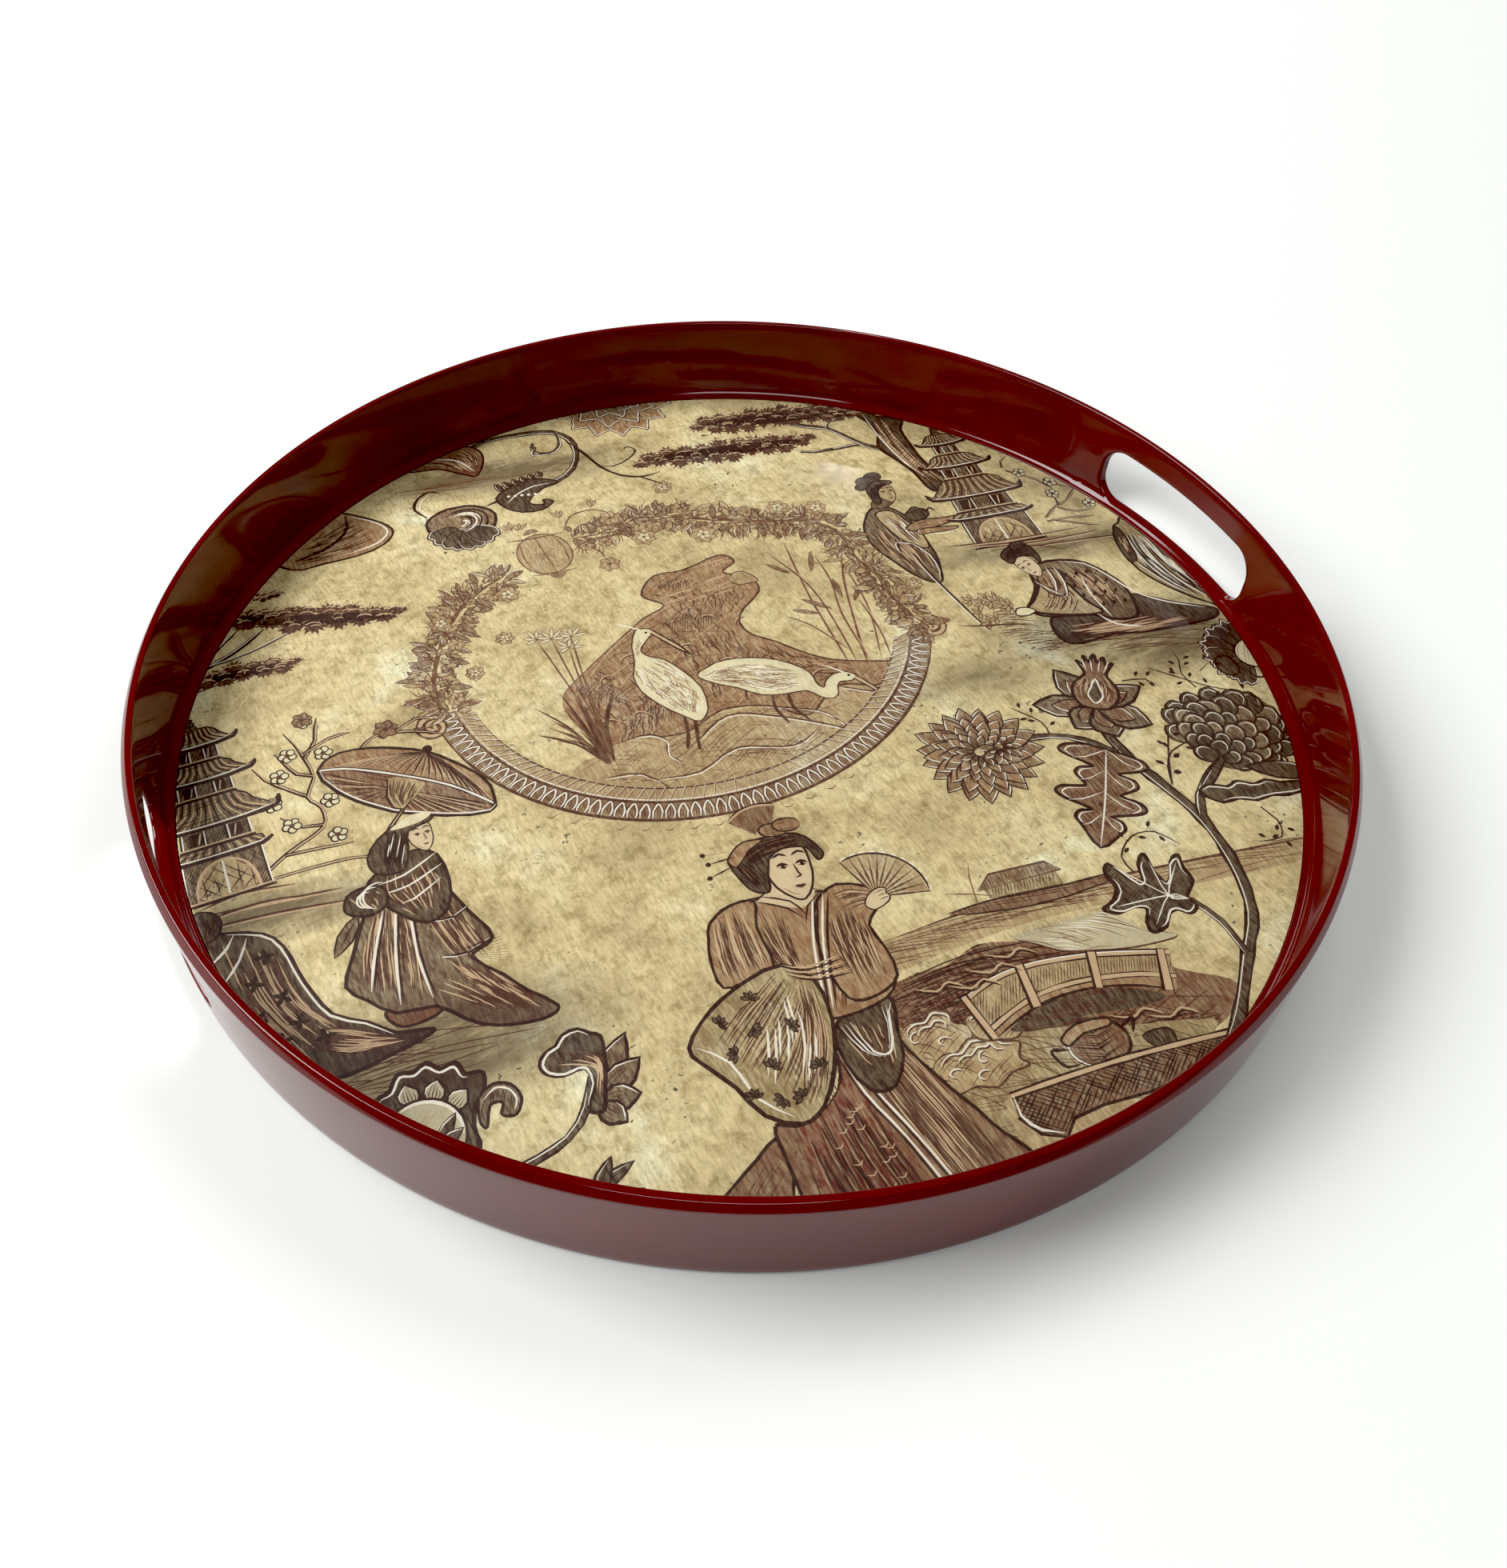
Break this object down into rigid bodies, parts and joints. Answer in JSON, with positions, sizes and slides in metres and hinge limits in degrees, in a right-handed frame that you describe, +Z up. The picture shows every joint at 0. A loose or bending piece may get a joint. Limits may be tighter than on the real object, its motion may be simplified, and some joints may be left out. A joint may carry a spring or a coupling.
{
  "type": "round serving tray",
  "caption": "Shallow round serving tray with a flared wall, a hand slot at each side, a printed floor under a clear layer and non-slip pads.",
  "frame": {"origin": "centre of the base, on the plane the pads rest on", "axes": "+Z up out of the open side, +X through one hand slot, +Y towards the top of the printed picture"},
  "size_m": [0.4, 0.4, 0.0392],
  "materials": {
    "red_lacquer": "high gloss, dark red",
    "printed_paper": "printed parchment ground with brown line drawing",
    "clear_film": "clear, smooth gloss",
    "pad_rubber": "matte, fine grain"
  },
  "bodies": {
    "root": {"tray_shell": "red_lacquer", "print_sheet": "printed_paper", "clear_cover": "clear_film", "non_slip_pad_1": "pad_rubber", "non_slip_pad_2": "pad_rubber", "non_slip_pad_3": "pad_rubber", "non_slip_pad_4": "pad_rubber"}
  },
  "joints": []
}
